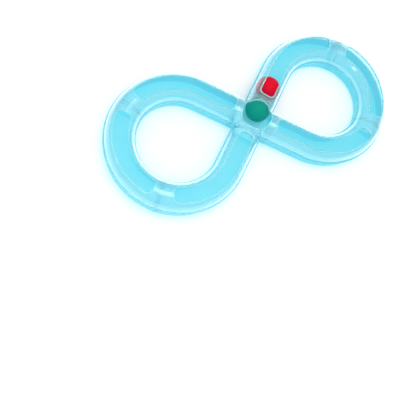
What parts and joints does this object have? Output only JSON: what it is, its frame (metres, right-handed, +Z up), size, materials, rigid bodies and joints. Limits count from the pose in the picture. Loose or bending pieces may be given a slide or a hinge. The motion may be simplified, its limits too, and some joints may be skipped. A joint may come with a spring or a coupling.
{
  "type": "cat ball track toy",
  "caption": "Flat figure-eight ball track for cats, clipped together from trays and slotted arched covers, with rattle balls that roll in its channel.",
  "frame": {"origin": "middle of the crossing, at the floor: the centre of the base", "axes": "+X along the figure eight towards the right loop, +Y across it, +Z up"},
  "size_m": [0.4942, 0.2302, 0.0458],
  "materials": {
    "track_cover": "translucent cyan, milky, glossy outside",
    "track_tray": "translucent cyan, milky, glossy outside",
    "red_plastic": "opaque red, satin gloss",
    "green_plastic": "opaque teal green, satin gloss",
    "bell_metal": "thin plated sheet"
  },
  "bodies": {
    "track": {"hub_tray": "track_tray", "hub_cover": "track_cover", "right_upper_tray": "track_tray", "right_upper_cover": "track_cover", "right_lower_tray": "track_tray", "right_lower_cover": "track_cover", "right_end_tray": "track_tray", "right_end_cover": "track_cover", "left_upper_tray": "track_tray", "left_upper_cover": "track_cover", "left_lower_tray": "track_tray", "left_lower_cover": "track_cover", "left_end_tray": "track_tray", "left_end_cover": "track_cover"},
    "red_bell": {"red_bell_shell": "bell_metal", "red_bell_pellet": "bell_metal"},
    "red_ball": {"red_ball_top": "red_plastic", "red_ball_bottom": "red_plastic"},
    "green_bell": {"green_bell_shell": "bell_metal", "green_bell_pellet": "bell_metal"},
    "green_ball": {"green_ball_top": "green_plastic", "green_ball_bottom": "green_plastic"}
  },
  "joints": [
    {"name": "red_ball_travel", "type": "slide", "parent": "track", "child": "red_bell", "axis": [0.7314, 0.682, 0], "range_m": [0, 0.035]},
    {"name": "red_ball_spin", "type": "hinge", "parent": "red_bell", "child": "red_ball", "pos_m": [0.045, 0.0419, 0.0223], "axis": [-0.682, 0.7314, 0], "range_deg": [0, 100.8]},
    {"name": "green_ball_travel", "type": "slide", "parent": "track", "child": "green_bell", "axis": [0.7314, 0.682, 0], "range_m": [-0.1155, 0]},
    {"name": "green_ball_spin", "type": "hinge", "parent": "green_bell", "child": "green_ball", "pos_m": [0.0139, 0.013, 0.0223], "axis": [-0.682, 0.7314, 0], "range_deg": [-331.4, 0]}
  ],
  "couplings": [
    {"joint": "red_ball_spin", "follows": "red_ball_travel", "rad_per_m": 50},
    {"joint": "green_ball_spin", "follows": "green_ball_travel", "rad_per_m": 50}
  ]
}
